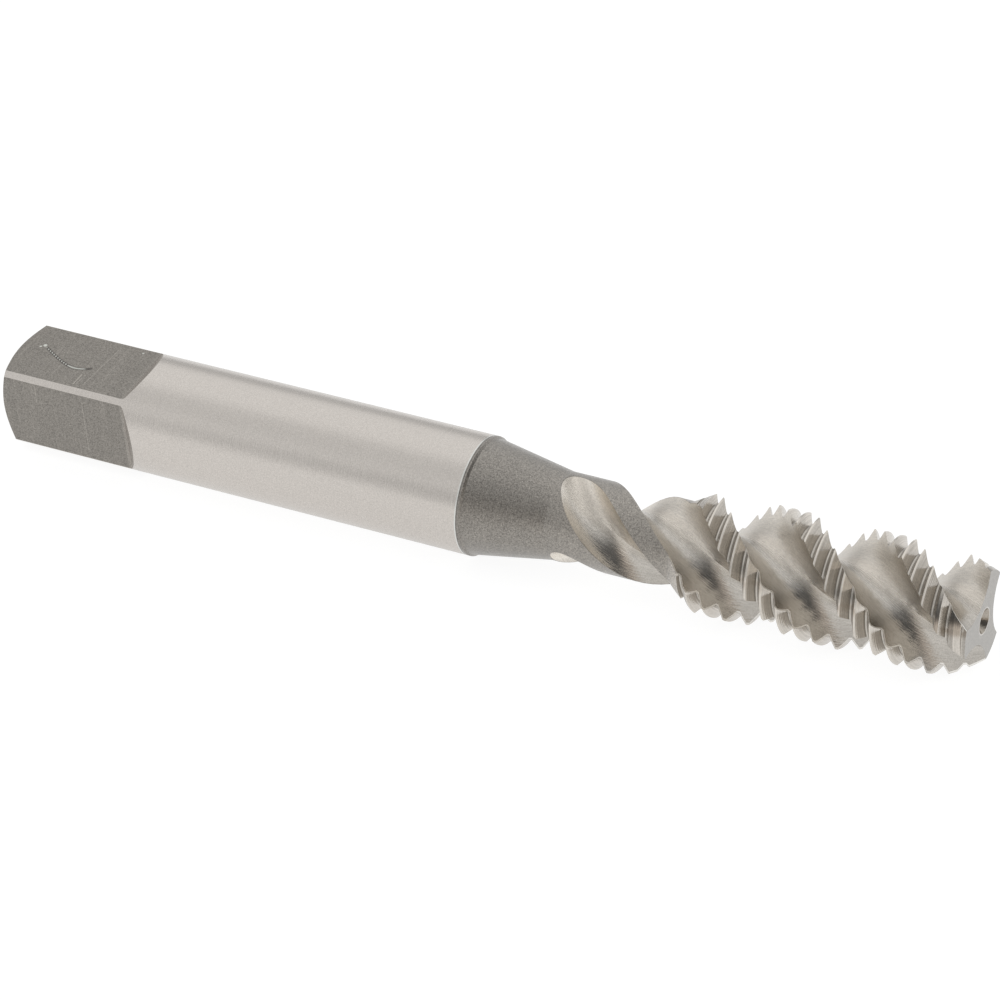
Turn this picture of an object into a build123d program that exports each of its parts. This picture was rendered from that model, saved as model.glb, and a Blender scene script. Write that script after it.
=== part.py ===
# Spiral-flute machine tap, right-hand, 5/16 inch by 24 threads to the inch, three flutes.
# The tap lies along X with its cutting end at +X. Its shank rests on the plane Z = 0,
# and the origin is under the middle of its length. Millimetres and degrees.
# Angles round the axis are measured from +Y towards +Z, so they grow as a right-hand helix advances.
from build123d import *
from math import acos, ceil, cos, degrees, radians, sin, tan
import os

# Overall length and shank
overall_length = 69.85
shank_length = 35.0
shank_diameter = 8.05

# Driving square, at the shank's end
square_across_flats = 5.98
square_length = 9.55
square_roll = 10.2
square_foot_radius = 0.4
square_runout_angle = 45
end_face_diameter = 5.7
end_chamfer_length = 0.5

# Neck, from the collar at the shank's end to the thread
collar_length = 0.2
collar_step = 0.14
cone_length = 5.6
neck_diameter = 5.9
neck_length = 14.5

# Thread
major_diameter = 8.0
thread_pitch = 25.4 / 24
flank_angle = 30
flat_width = thread_pitch / 8
thread_ramp_angle = 30
groove_start = 13.22
lead_length = 2.1
tip_diameter = 6.56

# Flutes
flute_count = 3
flute_lead = 20.3
flute_phase = 103.2
core_diameter = 3.04
flute_half_angle = 40.2
crease_offset = 0.12
heel_arc_radius = 3.15
face_arc_radius = 3.1
flute_full_depth_start = 9.45
flute_runout_radius = 4.8
flute_runout_turn = 6

# Centre hole in the cutting end
centre_hole_diameter = 1.66
centre_hole_angle = 60
pilot_diameter = 0.7
pilot_depth = 2.6

# Clearance by which a cutter reaches past what it cuts, and where the turned surfaces close
overshoot = 0.4
seam_angle = 200

# Radii, and places along the axis
shank_radius = shank_diameter / 2
major_radius = major_diameter / 2
neck_radius = neck_diameter / 2
core_radius = core_diameter / 2
end_x = -overall_length / 2
tip_x = overall_length / 2
neck_x = end_x + shank_length
ramp_length = (major_radius - neck_radius) / tan(radians(thread_ramp_angle))
axis_height = shank_radius
axis = Axis((end_x, 0, axis_height), (1, 0, 0))


def across(x, angle):
    """Plane across the axis at x, with its own x direction turned to the angle."""
    turn = radians(angle)
    return Plane(origin=(x, 0, axis_height), x_dir=(0, cos(turn), sin(turn)), z_dir=(1, 0, 0))


def along(x, angle):
    """Plane that holds the axis, with its origin on it at x and its y direction turned to the angle."""
    turn = radians(angle)
    return Plane(origin=(x, 0, axis_height), x_dir=(1, 0, 0), z_dir=(0, -sin(turn), cos(turn)))


def flute_angle(x):
    """Direction of the deepest line of the first flute at x."""
    return flute_phase + 360 * (x - neck_x) / flute_lead


def on_circle(radius, angle):
    """Point at a radius and angle in the plane of a sketch."""
    turn = radians(angle)
    return (radius * cos(turn), radius * sin(turn))


# Stations of a flute, each with how far it is lifted off the core: level from past the tip
# back to the run-out, then out along the arc on which the grinding wheel leaves the neck.
# The wheel drifts towards the heel as it lifts, by the run-out turn in degrees per millimetre.
station_turn = 12
runout_steps = 6
level_length = tip_x + overshoot - (neck_x + flute_full_depth_start)
level_count = ceil(360 * level_length / flute_lead / station_turn)
runout_lift = neck_radius - core_radius + 1.5 * overshoot
runout_sweep = degrees(acos(1 - runout_lift / flute_runout_radius))
stations = []
for step in range(level_count + 1):
    stations.append((tip_x + overshoot - level_length * step / level_count, 0.0))
for step in range(1, runout_steps + 1):
    sweep_angle = radians(runout_sweep * step / runout_steps)
    stations.append((neck_x + flute_full_depth_start - flute_runout_radius * sin(sweep_angle),
                     flute_runout_radius * (1 - cos(sweep_angle))))

with BuildPart() as tap:
    # Turned blank: chamfered end, shank, collar, neck cone, neck, ramp up to the thread, lead and tip
    with BuildSketch(along(end_x, seam_angle)):
        with BuildLine():
            Polyline(
                (0, 0),
                (0, end_face_diameter / 2),
                (end_chamfer_length, shank_radius),
                (shank_length + collar_length, shank_radius),
                (shank_length + collar_length + collar_step, shank_radius - collar_step),
                (shank_length + collar_length + cone_length, neck_radius),
                (shank_length + neck_length, neck_radius),
                (shank_length + neck_length + ramp_length, major_radius),
                (overall_length - lead_length, major_radius),
                (overall_length, tip_diameter / 2),
                (overall_length, 0),
                close=True,
            )
        make_face()
    revolve(axis=axis)

    # Driving square: four flats, each with a small radius at its foot and a slope out to the shank
    flat_height = square_across_flats / 2
    rise = shank_radius - flat_height + overshoot
    run = rise / tan(radians(square_runout_angle))
    foot_tangent = square_foot_radius * tan(radians(square_runout_angle / 2))
    foot_x = square_length + foot_tangent
    for quarter in range(4):
        with BuildSketch(along(end_x, square_roll + 90 * quarter)):
            with BuildLine():
                FilletPolyline(
                    (-overshoot, flat_height),
                    (foot_x, flat_height),
                    (foot_x + run, flat_height + rise),
                    radius=square_foot_radius,
                )
                Polyline(
                    (foot_x + run, flat_height + rise),
                    (-overshoot, flat_height + rise),
                    (-overshoot, flat_height),
                )
            make_face()
        extrude(amount=shank_radius, both=True, mode=Mode.SUBTRACT)

    # Centre hole in the cutting end: a countersink with a pilot drilled on behind it
    centre_hole_depth = (centre_hole_diameter - pilot_diameter) / 2 / tan(radians(centre_hole_angle / 2))
    with BuildSketch(along(tip_x, seam_angle)):
        with BuildLine():
            Polyline(
                (0, 0),
                (0, centre_hole_diameter / 2),
                (-centre_hole_depth, pilot_diameter / 2),
                (-pilot_depth, pilot_diameter / 2),
                (-pilot_depth - pilot_diameter / 4, 0),
                close=True,
            )
        make_face()
    revolve(axis=axis, mode=Mode.SUBTRACT)

    # Flutes: one wide arc each side of the crease, carried along the helix and lifted out at the neck
    rim_radius = major_radius + overshoot
    for flute in range(flute_count):
        for x, lift in stations:
            with BuildSketch(across(x, flute_angle(x) + flute_runout_turn * lift + 360 * flute / flute_count)):
                with BuildLine():
                    heel = on_circle(rim_radius, flute_half_angle)
                    face = on_circle(rim_radius, -flute_half_angle)
                    crease = (core_radius + lift, -crease_offset)
                    heel_rim = (heel[0] + lift, heel[1])
                    face_rim = (face[0] + lift, face[1])
                    RadiusArc(crease, heel_rim, heel_arc_radius)
                    RadiusArc(face_rim, crease, face_arc_radius)
                    ThreePointArc(heel_rim, (rim_radius + lift + overshoot, 0), face_rim)
                make_face()
        loft(mode=Mode.SUBTRACT)

    # Thread: a right-hand groove with a flat at its root, cut turn by turn from the ramp to past the tip
    groove_depth = (thread_pitch - 2 * flat_width) / 2 / tan(radians(flank_angle))
    root_radius = major_radius - groove_depth
    mouth_radius = major_radius + overshoot / 4
    mouth_half = flat_width / 2 + (mouth_radius - root_radius) * tan(radians(flank_angle))
    groove_x = neck_x + groove_start
    turn_count = ceil((tip_x - groove_x) / thread_pitch) + 1
    for turn in range(turn_count):
        turn_x = groove_x + turn * thread_pitch
        with BuildLine() as helix:
            Helix(
                pitch=thread_pitch,
                height=thread_pitch,
                radius=root_radius,
                center=(turn_x, 0, axis_height),
                direction=(1, 0, 0),
            )
        with BuildSketch(along(turn_x, 90)):
            with BuildLine():
                Polyline(
                    (-flat_width / 2, root_radius),
                    (flat_width / 2, root_radius),
                    (mouth_half, mouth_radius),
                    (-mouth_half, mouth_radius),
                    close=True,
                )
            make_face()
        sweep(path=helix.line, is_frenet=True, mode=Mode.SUBTRACT)

tap.part.label = "tap"
os.makedirs("parts", exist_ok=True)
export_step(tap.part, "parts/tap.step")
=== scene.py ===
import math

import bpy
import bmesh
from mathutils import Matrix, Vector

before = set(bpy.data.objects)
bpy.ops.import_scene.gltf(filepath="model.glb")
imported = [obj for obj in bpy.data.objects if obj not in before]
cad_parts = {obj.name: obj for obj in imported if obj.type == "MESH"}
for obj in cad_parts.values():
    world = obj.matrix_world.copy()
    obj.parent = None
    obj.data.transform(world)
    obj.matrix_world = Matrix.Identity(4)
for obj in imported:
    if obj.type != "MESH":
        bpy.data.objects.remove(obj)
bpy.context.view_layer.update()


# Table under the tap: a wide sheet of white paper, which shows plain white and keeps only a faint
# shadow. What the steel mirrors of it is darker round the cutting end, and warmer in front of it.
class Wire:
    """One socket of a node tree, on which sums can be written as on a number."""

    def __init__(self, tree, socket=None):
        self.tree = tree
        self.socket = socket

    def node(self, kind, inputs, output=0, **settings):
        """New node of a kind: its settings first, then the values or links of its sockets."""
        made = self.tree.nodes.new("ShaderNode" + kind)
        for name, value in settings.items():
            setattr(made, name, value)
        for name, value in inputs.items():
            if isinstance(value, Wire):
                self.tree.links.new(value.socket, made.inputs[name])
            else:
                made.inputs[name].default_value = value
        return Wire(self.tree, made.outputs[output])

    def sum(self, operation, *others):
        return self.node("Math", dict(enumerate((self, *others))), operation=operation)

    def __add__(self, other):
        return self.sum("ADD", other)

    def __sub__(self, other):
        return self.sum("SUBTRACT", other)

    def __mul__(self, other):
        return self.sum("MULTIPLY", other)

    def __truediv__(self, other):
        return self.sum("DIVIDE", other)

    def __rsub__(self, other):
        return self.node("Math", {0: other, 1: self}, operation="SUBTRACT")

    __radd__ = __add__
    __rmul__ = __mul__

    def at_most(self, other):
        return self.sum("MINIMUM", other)

    def at_least(self, other):
        return self.sum("MAXIMUM", other)

    def absolute(self):
        return self.sum("ABSOLUTE")

    def rise(self, low, high):
        """Zero below low, one above high and smooth between."""
        return self.node("MapRange", {"Value": self, "From Min": low, "From Max": high},
                         interpolation_type="SMOOTHSTEP")

    def mixed(self, share, other):
        """This number where the share is 0, and the other one where it is 1."""
        return self + share * (other - self)

    def part(self, axis):
        return self.node("SeparateXYZ", {0: self}, output=axis)

    def vector(self, x, y, z):
        return self.node("CombineXYZ", {"X": x, "Y": y, "Z": z})

    def dot(self, other):
        return self.node("VectorMath", {0: self, 1: other}, output="Value", operation="DOT_PRODUCT")

    def scaled(self, colour, tone):
        """The colour made lighter or darker by the tone."""
        return self.node("VectorMath", {0: colour, "Scale": tone}, operation="SCALE")

    def blend(self, share, first, second):
        """Colour that goes from first to second as the share goes from 0 to 1."""
        return self.node("Mix", {0: share, 6: first, 7: second}, output=2, data_type="RGBA")


def surface(name):
    """New material with its node tree empty, and a wire to write on it with."""
    made = bpy.data.materials.new(name)
    made.use_nodes = True
    made.node_tree.nodes.clear()
    return made, Wire(made.node_tree)


def finish_with(material, shader):
    output = material.node_tree.nodes.new("ShaderNodeOutputMaterial")
    material.node_tree.links.new(shader.socket, output.inputs["Surface"])


white = (1, 1, 1, 1)
paper_grey = (0.20, 0.20, 0.20, 1)
warm_sheet = (1, 0.90, 0.80, 1)
sheet_seen = 0.90
sheet_mirrored = 0.76
paper, wire = surface("white_paper")
camera_ray = wire.node("LightPath", {}, output="Is Camera Ray")
glossy_ray = wire.node("LightPath", {}, output="Is Glossy Ray")
clear_ray = wire.node("LightPath", {}, output="Is Transmission Ray")
sheet = wire.node("TexCoord", {}, output="Object")
front_of_tip = sheet.part("X").rise(-0.015, 0.02) * (1 - sheet.part("Y").rise(-0.035, -0.012))
behind_tip = sheet.part("X").rise(0.03, 0.12) * sheet.part("Y").rise(0.02, 0.12)
mirrored = sheet_mirrored - front_of_tip * 0.33 - behind_tip * 0.38
glow = camera_ray * sheet_seen + glossy_ray.at_least(clear_ray) * mirrored
glow_colour = wire.blend(front_of_tip * glossy_ray, white, warm_sheet)
lit = wire.node("BsdfDiffuse", {"Color": paper_grey})
glowing = wire.node("Emission", {"Color": glow_colour, "Strength": glow})
finish_with(paper, wire.node("AddShader", {0: lit, 1: glowing}))

half_table = 3.0
table_mesh = bmesh.new()
bmesh.ops.create_grid(table_mesh, x_segments=1, y_segments=1, size=half_table)
table_data = bpy.data.meshes.new("table")
table_mesh.to_mesh(table_data)
table_data.materials.append(paper)
table = bpy.data.objects.new("table", table_data)
bpy.context.scene.collection.objects.link(table)

# White room round the table. Its soft light is even, and it is plain white behind the tap. The
# steel mirrors a bright ceiling over walls that are darker in places, and warmer low in front.
room_seen = 1.0
soft_light = 0.78
wall_light = 0.84
ceiling_light = 0.895
warm_room = (1, 0.91, 0.83, 1)
world = bpy.data.worlds.new("white_room")
bpy.context.scene.world = world
world.use_nodes = True
world.node_tree.nodes.clear()
wire = Wire(world.node_tree)
camera_ray = wire.node("LightPath", {}, output="Is Camera Ray")
glossy_ray = wire.node("LightPath", {}, output="Is Glossy Ray")
direction = wire.node("TexCoord", {}, output="Generated")
height = direction.part("Z")


def toward(place, low, high):
    """One in the room's direction of a place, and zero away from it."""
    return direction.dot(place).rise(low, high)


back_wall = toward((-0.50, 0.866, 0), 0.70, 0.94) * height.rise(0.03, 0.12) * (1 - height.rise(0.34, 0.52))
left_wall = toward((-0.87, 0.50, 0), 0.80, 0.97) * (1 - height.rise(0.45, 0.75))
right_wall = toward((0.50, 0.87, 0), 0.86, 0.97) * (1 - height.rise(0.0, 0.2))
overhead = toward((-0.346, -0.485, 0.803), 0.85, 1.0)
low_front = toward((0.67, -0.743, 0), 0.55, 0.95) * (1 - height.rise(0.15, 0.45))
walls = wall_light + height.rise(0.12, 0.65) * (ceiling_light - wall_light)
walls = walls * (1 - back_wall * 0.36) * (1 - overhead * 0.22)
walls = walls * (1 - left_wall * 0.18 - right_wall * 0.25)

# The camera and its stand, black and out of focus, are mirrored as a dark round patch. It is
# centred on one direction, wide across, low in height, and fades at its edge and at the table.
stand_centre = (0.6407, -0.5240, 0.5611)
stand_across = (0.5055, 0.8380, 0.2054)
stand_upward = (-0.5779, 0.1520, 0.8018)
stand_half_width = 0.93
stand_half_height = 0.3658
stand_dark = 0.87
off_across = direction.dot(stand_across) / stand_half_width
off_upward = direction.dot(stand_upward) / stand_half_height
off_stand = (off_across * off_across + off_upward * off_upward).sum("SQRT")
stand = (1 - off_stand.rise(0.60, 1.78)) * toward(stand_centre, 0.10, 0.45)
stand = stand * (0.45 + height.rise(0.0, 0.3) * 0.55)
mirrored = walls * (1 - stand * stand_dark)
level = camera_ray * room_seen + (1 - camera_ray) * (glossy_ray * mirrored + (1 - glossy_ray) * soft_light)
room_colour = wire.blend(low_front * glossy_ray, white, warm_room)
room = wire.node("Background", {"Color": room_colour, "Strength": level})
world_output = world.node_tree.nodes.new("ShaderNodeOutputWorld")
world.node_tree.links.new(room.socket, world_output.inputs["Surface"])

# The camera looks down on the tap at 30 degrees from in front of its cutting end, from 28 cm.
camera_data = bpy.data.cameras.new("camera")
camera_data.sensor_width = 36
camera_data.lens = 154.16
camera_data.clip_start = 0.01
camera_data.clip_end = 20
camera = bpy.data.objects.new("camera", camera_data)
bpy.context.scene.collection.objects.link(camera)
camera.location = (0.109982, -0.215798, 0.142647)
camera.rotation_mode = "QUATERNION"
camera.rotation_quaternion = Vector((-0.39011692, 0.77467161, -0.49768734)).to_track_quat("-Z", "Y")
bpy.context.scene.camera = camera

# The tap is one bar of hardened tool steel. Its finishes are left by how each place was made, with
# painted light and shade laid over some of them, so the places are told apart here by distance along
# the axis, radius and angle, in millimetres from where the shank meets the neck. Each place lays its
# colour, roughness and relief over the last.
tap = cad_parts["tap"]
overall_length = 69.85
shank_length = 35.0
shank_radius = 4.025
tip_at = overall_length - shank_length
steel, wire = surface("tool_steel")
place = wire.node("TexCoord", {}, output="Object")
along = place.part("X") * 1000 + (overall_length / 2 - shank_length)
out = place.part("Y") * 1000
up = place.part("Z") * 1000 - shank_radius
spot = wire.vector(along, out, up)
radius = (out * out + up * up).sum("SQRT")
turn = up.sum("ARCTAN2", out) / (2 * math.pi)


# Shank, a plain cylinder ground bright between centres. The wheel left very fine rings round it,
# and the hardened steel has a slight grain, which shows in every other finish too.
def noise(at, scale, detail):
    """Noise, drawn out along any direction whose coordinate is made small."""
    return wire.node("TexNoise", {"Vector": at, "Scale": scale, "Detail": detail})


ground_steel = (0.672, 0.632, 0.590)
ground_rough = 0.26
grain = noise(spot, 9.0, 2.0).rise(0.35, 0.65)
fine_grain = noise(spot, 17.0, 1.0).rise(0.35, 0.65)
rings = noise(wire.vector(along, out * 0.02, up * 0.02), 14.0, 4.0).rise(0.3, 0.7)
ring_tone = 1 + (rings - 0.5) * 0.035 + (grain - 0.5) * 0.09 + (fine_grain - 0.5) * 0.10
colour = wire.scaled(ground_steel, ring_tone)
rough = ground_rough + (rings - 0.5) * 0.03
relief = rings * 0.4 + grain * 0.3

# Driving square, its four flats milled and then blasted a dull grey, with faint lines across them.
# The corners are what the flats left of the ground shank. Painted light makes each foot's slope paler.
flat_steel = (0.325, 0.305, 0.278)
lit_slope_steel = (0.49, 0.45, 0.41)
flat_rough = 0.50
end_face_radius = 2.85
end_chamfer_length = 0.5
square_foot = -25.45
square_end = -24.1
chamfer_slope = end_chamfer_length / (shank_radius - end_face_radius)
chamfered = 1 - (along + shank_length - (radius - end_face_radius) * chamfer_slope).rise(0.005, 0.02)
on_square = 1 - radius.rise(shank_radius - 0.025, shank_radius - 0.01)
on_square = on_square * (1 - along.rise(square_end, square_end + 0.05)) * (1 - chamfered)
# A thin painted highlight runs along the foot of each flat, and the slope past it is painted paler.
foot_highlight = along.rise(square_foot - 0.05, square_foot - 0.01)
foot_highlight = foot_highlight * (1 - along.rise(square_foot + 0.05, square_foot + 0.09)) * on_square
slope = along.rise(square_foot + 0.05, square_foot + 0.20) * on_square
passes = noise(wire.vector(along, out * 0.03, up * 0.03), 5.0, 5.0)
flat_tone = 1 + (grain - 0.5) * 0.28 + (fine_grain - 0.5) * 0.34 + (passes.rise(0.3, 0.7) - 0.5) * 0.08
flat_tone = flat_tone + passes.rise(0.62, 0.70) * 0.12

# Marks of use on the square: one wriggling scored line on the upper flat, with burrs at its start
# and bright beads along its middle, a burr by one corner, and fine scratches across two flats.
bare_burr = (0.80, 0.81, 0.76, 1)
square_roll = math.radians(10.2)
flat_height = 2.99
flat_across = out * math.cos(square_roll) + up * math.sin(square_roll)
flat_up = up * math.cos(square_roll) - out * math.sin(square_roll)
upper_flat = flat_up.rise(flat_height - 0.09, flat_height - 0.04) * on_square
front_flat = (1 - flat_across.rise(0.04 - flat_height, 0.09 - flat_height)) * on_square

score_start = (-33.25, -33.05)
score_end = (-29.1, -28.95)
score_bend = -30.2
score_lowest = -0.8
score_spread = 0.62
past_bend = along - score_bend
score_across = ((past_bend * past_bend + 1).sum("SQRT") - 1) * score_spread + score_lowest
off_score = (flat_across - score_across).absolute()
scored = along.rise(*score_start) * (1 - along.rise(*score_end)) * upper_flat
score = (1 - off_score.rise(0.08, 0.18)) * scored

bead_spacing = 0.22
beads_join = (-30.8, -30.6)
beads_end = (-29.6, -29.3)
beads = (along * (2 * math.pi / bead_spacing)).sum("SINE").rise(-0.3, 0.5)
beads = beads.at_least(along.rise(*beads_join)) * (1 - along.rise(*beads_end))
beads = beads * (1 - off_score.rise(0.03, 0.10)) * scored


def speck(at_along, at_across, size):
    """Round bright spot on the upper flat."""
    off_along, off_across = along - at_along, flat_across - at_across
    off_spot = (off_along * off_along + off_across * off_across).sum("SQRT")
    return (1 - off_spot.rise(size * 0.6, size * 1.3)) * upper_flat


def scratch(flat, across_flat, at_along, low_end, high_end, lean):
    """Thin bright line across a flat."""
    off_line = (along - at_along - across_flat * lean).absolute()
    reach = across_flat.rise(low_end - 0.2, low_end) * (1 - across_flat.rise(high_end, high_end + 0.2))
    return (1 - off_line.rise(0.01, 0.055)) * reach * flat


burr = speck(-33.40, 0.70, 0.14).at_least(speck(-33.64, 0.50, 0.08))
burr = burr.at_least(speck(-26.58, 2.26, 0.09) * 0.7)
scratches = sum((
    scratch(upper_flat, flat_across, -29.30, -2.27, -1.36, 0.03) * 0.9,
    scratch(upper_flat, flat_across, -28.50, -2.10, 1.90, 0.085) * 0.45,
    scratch(upper_flat, flat_across, -31.22, -2.0, -0.9, 0.04) * 0.35,
    scratch(upper_flat, flat_across, -28.95, -2.2, -1.1, 0.10) * 0.35,
    scratch(front_flat, flat_up, -28.52, -1.95, 2.0, 0.02) * 0.40,
    scratch(front_flat, flat_up, -32.20, 1.2, 2.4, 0.03) * 0.45,
))
marked_tone = flat_tone * (1 - score * 0.55) + scratches * 0.75 + foot_highlight * 0.2
flat_colour = wire.scaled(flat_steel, marked_tone)
flat_colour = wire.blend(slope * 0.8, flat_colour, wire.scaled(lit_slope_steel, flat_tone))
flat_colour = wire.blend(beads * 0.75 + burr * 0.9, flat_colour, bare_burr)
colour = wire.blend(on_square, colour, flat_colour)
rough = rough.mixed(on_square, flat_rough)
relief = relief.mixed(on_square, grain + fine_grain - score * 3 + burr * 2)

# Neck, turned down from the shank with a low collar, a long cone and a straight part, and blasted
# like the square. The ramp up to the thread has the same finish, with painted light making it paler,
# and painted shade makes the cone a little darker than the straight part. The turned outline is
# worked out here, because the thread and the flutes are cut into it.
neck_steel = (0.328, 0.305, 0.274)
edge_highlight_steel = (0.85, 0.88, 0.86, 1)
neck_rough = 0.44
collar_end = 0.34
collar_radius = 3.885
cone_end = 5.8
neck_end = 14.5
neck_radius = 2.95
major_radius = 4.0
tip_radius = 3.28
lead_length = 2.1
cone = collar_radius - (along - collar_end) * ((collar_radius - neck_radius) / (cone_end - collar_end))
ramp = neck_radius + (along - neck_end) * math.tan(math.radians(30))
lead = major_radius - (along - (tip_at - lead_length)) * ((major_radius - tip_radius) / lead_length)
turned = cone.at_least(neck_radius).at_least(ramp).at_most(lead).at_most(major_radius)
past_shank = along.rise(0.0, 0.03)
# A thin painted highlight lies on the shank's end edge, and a thin painted shade on the neck just past it.
shank_edge_highlight = along.rise(-0.09, -0.06) * (1 - past_shank)
collar_edge_shade = past_shank * (1 - along.rise(0.06, 0.14))
glints = noise(spot, 14.0, 0.0).rise(0.73, 0.78)
neck_tone = 1 + (grain - 0.5) * 0.40 + (fine_grain - 0.5) * 0.46 + glints * 0.6
# Painted shade on the cone, and painted light on the ramp up to the thread.
neck_tone = neck_tone * (0.93 + along.rise(3.0, 9.0) * 0.13 + along.rise(14.0, 15.6) * 0.60)
neck_colour = wire.scaled(neck_steel, neck_tone * (1 - collar_edge_shade * 0.35))
colour = wire.blend(shank_edge_highlight * 0.6, colour, edge_highlight_steel)
colour = wire.blend(past_shank, colour, neck_colour)
rough = rough.mixed(past_shank, neck_rough)
relief = relief.mixed(past_shank, grain + fine_grain)

# Thread, ground with a wheel that left a flat at the root. Its groove winds right-handed and comes
# out bright, with fine lines along it. Painted shade darkens the root and the flank that faces the
# shank, and a painted highlight brightens the crest. The lead is smoother than the rest of the thread.
thread_steel = (0.640, 0.600, 0.545)
thread_rough = 0.17
pitch = 25.4 / 24
root_radius = 3.3126
root_width = pitch / 8
first_groove = 14.277
thread_start = 13.9
whole_thread = 15.6
groove = (along - first_groove - (turn - 0.25) * pitch).sum("WRAP", pitch / 2, -pitch / 2)
off_groove = groove.absolute()
threaded = root_radius + (off_groove - root_width / 2).at_least(0) / math.tan(math.radians(30))
past_start = along.rise(thread_start, thread_start + 0.05)
outside = turned.at_most(threaded.at_least(turned * (1 - past_start)))
in_groove = (turned - threaded).rise(0.0, 0.02) * past_start
on_crest = radius.rise(3.90, 3.97) * along.rise(whole_thread, whole_thread + 0.5)
on_thread = in_groove.at_least(on_crest).at_least(along.rise(whole_thread, whole_thread + 0.6))
root_shade = 1 - off_groove.rise(0.08, 0.12)
shank_flank_shade = groove.rise(0.03, 0.07) * (1 - on_crest)
thread_lines = noise(wire.vector(radius, groove, along * 0.05), 16.0, 5.0).rise(0.3, 0.7)
# Painted shade on the root and on the flank that faces the shank, and a painted highlight on the crest.
thread_tone = 1.04 - root_shade * 0.19 - shank_flank_shade * 0.34 + on_crest * 0.08
thread_tone = thread_tone + (thread_lines - 0.5) * 0.22 + (grain - 0.5) * 0.10
colour = wire.blend(on_thread, colour, wire.scaled(thread_steel, thread_tone))
rough = rough.mixed(on_thread, thread_rough - along.rise(32.4, 33.2) * 0.06)
relief = relief.mixed(on_thread, thread_lines)

# Flutes, ground from the solid by a formed wheel, with fine streaks along the helix and tiny pits.
# Their two sides differ in gloss. Painted light and shade make their sides lighter or darker, most
# where the wheel ran out on the neck, and a painted highlight runs along the heel of each land.
flute_steel = (0.608, 0.565, 0.505, 1)
rim_steel = (0.600, 0.575, 0.535, 1)
heel_highlight_steel = (1.0, 0.98, 0.94, 1)
flute_lead = 20.3
flute_phase = 103.2
flute_start = 5.0
below = outside - radius
in_flute = below.rise(0.015, 0.035) * along.rise(flute_start, flute_start + 0.2)
twist = along * (2 * math.pi / flute_lead)
twist_cos, twist_sin = twist.sum("COSINE"), twist.sum("SINE")
flute_x = out * twist_cos + up * twist_sin
flute_y = up * twist_cos - out * twist_sin
streaks = noise(wire.vector(flute_x, flute_y, along * 0.15), 12.0, 3.0).rise(0.3, 0.7)

# The side of a flute is in degrees from its deepest line, and grows towards the heel.
side = (turn * 360 - flute_phase - along * (360 / flute_lead)).sum("WRAP", 60, -60)
rims = side.rise(6, 22) + (1 - side.rise(-36, -22)) * 0.7
heel_arc = 1 - (side - 10).absolute().rise(5, 17)
heel_rim = side.rise(31, 38)
run_out = 1 - along.rise(10.8, 11.6)
# The shade here is painted light and shade, which lightens the rims and darkens the arc by the heel.
shade = 1 - side * 0.0045 + rims * (run_out * 0.26 + 0.06)
shade = shade - (heel_arc * 0.13 + heel_rim * 0.03) * (1 - run_out)
shade = shade + (1 - along.rise(6.4, 8.0)) * (0.24 - side.rise(8, 20) * 0.16)
shade = shade + heel_arc * (1 - along.rise(7.4, 8.6)) * 0.25
flute_tone = 1 + (streaks - 0.5) * 0.16 + (grain - 0.5) * 0.10 + (fine_grain - 0.5) * 0.17
flute_colour = wire.blend(rims * 0.6, flute_steel, rim_steel)
flute_rough = 0.34 + (streaks - 0.5) * 0.06 - side.rise(-24, -8) * 0.07 - side.rise(22, 36) * 0.08
# A thin painted highlight along the heel edge of each land.
heel_edge_highlight = in_flute * (1 - below.rise(0.10, 0.16)) * side.rise(6, 10) * along.rise(neck_end, neck_end + 0.5)
colour = wire.blend(in_flute, colour, wire.scaled(flute_colour, flute_tone * shade))
colour = wire.blend(heel_edge_highlight, colour, heel_highlight_steel)
rough = rough.mixed(in_flute, flute_rough) + heel_edge_highlight * 0.25
relief = relief.mixed(in_flute, streaks * 0.8 + grain * 0.2)

# Front end, ground flat last of all, and the centre hole that held it between centres. The hole is
# smooth inside and painted darker as shade, with a thin painted highlight round its mouth.
front_steel = (0.475, 0.460, 0.435)
shaded_hole_steel = (0.43, 0.39, 0.34)
front_rough = 0.34
hole_radius = 0.83
behind_hole = 31.8
at_front = along.rise(tip_at - 0.015, tip_at - 0.005)
in_hole = 1 - radius.rise(hole_radius + 0.01, hole_radius + 0.03)
in_hole = in_hole * along.rise(behind_hole, behind_hole + 0.2)
hole_rim_highlight = at_front * (1 - radius.rise(hole_radius + 0.07, hole_radius + 0.11))
front_tone = 1 + (grain - 0.5) * 0.12 + (fine_grain - 0.5) * 0.12
colour = wire.blend(at_front, colour, wire.scaled(front_steel, front_tone + hole_rim_highlight * 0.5))
colour = wire.blend(in_hole, colour, wire.scaled(shaded_hole_steel, front_tone))
rough = rough.mixed(at_front.at_least(in_hole), front_rough - in_hole * 0.25)

# All the places make one material. A thin film of oil stays on the blasted neck and brightens it
# where it turns away from the eye.
oiled = past_shank * (1 - on_thread) * (1 - in_flute)
bumped = wire.node("Bump", {"Height": relief, "Distance": 0.00001, "Strength": 0.5})
finish_with(steel, wire.node("BsdfPrincipled", {
    "Base Color": colour, "Metallic": 1.0, "Roughness": rough, "Normal": bumped,
    "Coat Weight": oiled, "Coat Roughness": 0.35}))
tap.data.materials.clear()
tap.data.materials.append(steel)

bpy.context.scene.view_settings.view_transform = "Standard"
